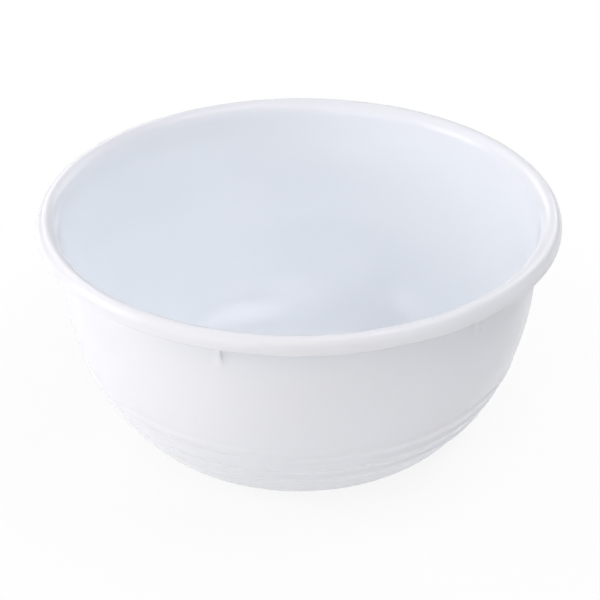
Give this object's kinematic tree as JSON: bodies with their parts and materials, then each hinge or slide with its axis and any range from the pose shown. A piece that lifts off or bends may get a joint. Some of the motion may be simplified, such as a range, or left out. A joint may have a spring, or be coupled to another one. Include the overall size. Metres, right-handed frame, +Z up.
{
  "type": "salad bowl",
  "caption": "Round moulded plastic salad bowl with a turned-over lip, small stacking ribs under it and shallow rings round its foot.",
  "frame": {"origin": "on the table, in the middle of the bowl's foot", "axes": "+Z up along the bowl's axis; -Y is the side that faces the viewer"},
  "size_m": [0.28, 0.28, 0.132],
  "materials": {
    "bowl_plastic": "satin gloss, as moulded"
  },
  "bodies": {
    "root": {"bowl": "bowl_plastic"}
  },
  "joints": []
}
